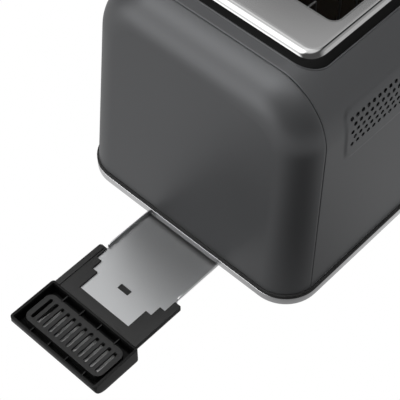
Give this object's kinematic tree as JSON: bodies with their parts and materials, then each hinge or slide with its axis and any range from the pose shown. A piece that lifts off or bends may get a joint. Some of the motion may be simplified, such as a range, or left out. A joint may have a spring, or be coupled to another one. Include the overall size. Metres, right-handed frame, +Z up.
{
  "type": "pop up toaster",
  "caption": "Pop up toaster with a soft-edged painted body, polished top plate, vented sides, lever carriage, browning dial, push buttons and a pull-out crumb tray.",
  "frame": {"origin": "middle of the underside of the whole object's box with the crumb tray drawn out, on the plane of the feet", "axes": "+Z up, +X from the crumb-tray end towards the lever end, +Y to the left of someone looking from the crumb-tray end towards the lever end"},
  "size_m": [0.4516, 0.193, 0.1952],
  "materials": {
    "painted_shell": "slate grey satin metallic paint",
    "black_plastic": "satin black moulded plastic",
    "polished_steel": "polished stainless steel",
    "skirt_chrome": "bright plated band",
    "tray_steel": "plain rolled sheet, dull bright",
    "chassis_steel": "plated sheet steel",
    "wire_steel": "drawn plated wire",
    "mica": "mica board",
    "element_wire": "resistance wire",
    "rubber": "black rubber",
    "circuit_board": "green circuit board",
    "magnet_coil": "enamelled copper winding"
  },
  "bodies": {
    "toaster_body": {"base_pan": "black_plastic", "base_ring": "black_plastic", "base_screw_lever_left": "chassis_steel", "base_screw_lever_right": "chassis_steel", "base_screw_tray_left": "chassis_steel", "base_screw_tray_right": "chassis_steel", "button_bezel": "skirt_chrome", "chassis_plate_lever_end": "chassis_steel", "chassis_plate_tray_end": "chassis_steel", "control_board": "circuit_board", "cord_gland": "black_plastic", "dial_bezel": "skirt_chrome", "element_board_centre": "mica", "element_board_left": "mica", "element_board_right": "mica", "element_wire_centre": "element_wire", "element_wire_left": "element_wire", "element_wire_right": "element_wire", "foot_lever_left": "rubber", "foot_lever_right": "rubber", "foot_tray_left": "rubber", "foot_tray_right": "rubber", "guide_rod": "wire_steel", "hold_magnet": "magnet_coil", "lever_end_cap": "painted_shell", "side_reflector_left": "chassis_steel", "side_reflector_right": "chassis_steel", "skirt_band": "skirt_chrome", "slot_liner_left": "black_plastic", "slot_liner_right": "black_plastic", "terminal_block": "black_plastic", "top_bezel": "black_plastic", "top_plate": "polished_steel", "tray_end_cap": "painted_shell", "tray_guide_left": "chassis_steel", "tray_guide_right": "chassis_steel", "wrap_shell": "painted_shell"},
    "crumb_tray_unit": {"crumb_tray": "tray_steel", "tray_handle": "black_plastic"},
    "bread_carriage": {"bread_rack_left": "chassis_steel", "bread_rack_right": "chassis_steel", "lift_bracket": "chassis_steel", "lever_arm": "chassis_steel", "lever_knob": "black_plastic", "magnet_armature": "chassis_steel", "return_spring": "wire_steel"},
    "guard_left_outer": {"bread_guard_left_outer": "wire_steel"},
    "guard_left_inner": {"bread_guard_left_inner": "wire_steel"},
    "guard_right_inner": {"bread_guard_right_inner": "wire_steel"},
    "guard_right_outer": {"bread_guard_right_outer": "wire_steel"},
    "dial": {"browning_dial": "black_plastic"},
    "cancel_key": {"button_cancel": "black_plastic"},
    "defrost_key": {"button_defrost": "black_plastic"},
    "reheat_key": {"button_reheat": "black_plastic"}
  },
  "joints": [
    {"name": "crumb_tray_slide", "type": "slide", "parent": "toaster_body", "child": "crumb_tray_unit", "axis": [-1, 0, 0], "range_m": [-0.1215, 0.035]},
    {"name": "carriage_slide", "type": "slide", "parent": "toaster_body", "child": "bread_carriage", "axis": [0, 0, -1], "range_m": [0, 0.07], "stiffness_N_per_m": 60, "springref_m": -0.06, "deforming": ["return_spring"]},
    {"name": "guard_left_outer_hinge", "type": "hinge", "parent": "toaster_body", "child": "guard_left_outer", "pos_m": [0.0518, 0.0464, 0.046], "axis": [1, 0, 0], "range_deg": [0, 3.6]},
    {"name": "guard_left_inner_hinge", "type": "hinge", "parent": "toaster_body", "child": "guard_left_inner", "pos_m": [0.0518, 0.0136, 0.046], "axis": [-1, 0, 0], "range_deg": [0, 3.6]},
    {"name": "guard_right_inner_hinge", "type": "hinge", "parent": "toaster_body", "child": "guard_right_inner", "pos_m": [0.0518, -0.0136, 0.046], "axis": [1, 0, 0], "range_deg": [0, 3.6]},
    {"name": "guard_right_outer_hinge", "type": "hinge", "parent": "toaster_body", "child": "guard_right_outer", "pos_m": [0.0518, -0.0464, 0.046], "axis": [-1, 0, 0], "range_deg": [0, 3.6]},
    {"name": "browning_turn", "type": "hinge", "parent": "toaster_body", "child": "dial", "pos_m": [0.2052, 0, 0.054], "axis": [0.998, 0, 0.0637], "range_deg": [-120, 150]},
    {"name": "cancel_press", "type": "slide", "parent": "toaster_body", "child": "cancel_key", "axis": [-0.998, 0, -0.0637], "range_m": [0, 0.0025], "stiffness_N_per_m": 300, "springref_m": -0.001},
    {"name": "defrost_press", "type": "slide", "parent": "toaster_body", "child": "defrost_key", "axis": [-0.998, 0, -0.0637], "range_m": [0, 0.0025], "stiffness_N_per_m": 300, "springref_m": -0.001},
    {"name": "reheat_press", "type": "slide", "parent": "toaster_body", "child": "reheat_key", "axis": [-0.998, 0, -0.0637], "range_m": [0, 0.0025], "stiffness_N_per_m": 300, "springref_m": -0.001}
  ],
  "couplings": [
    {"joint": "guard_left_outer_hinge", "follows": "carriage_slide", "rad_per_m": 0.87},
    {"joint": "guard_left_inner_hinge", "follows": "carriage_slide", "rad_per_m": 0.87},
    {"joint": "guard_right_inner_hinge", "follows": "carriage_slide", "rad_per_m": 0.87},
    {"joint": "guard_right_outer_hinge", "follows": "carriage_slide", "rad_per_m": 0.87}
  ]
}
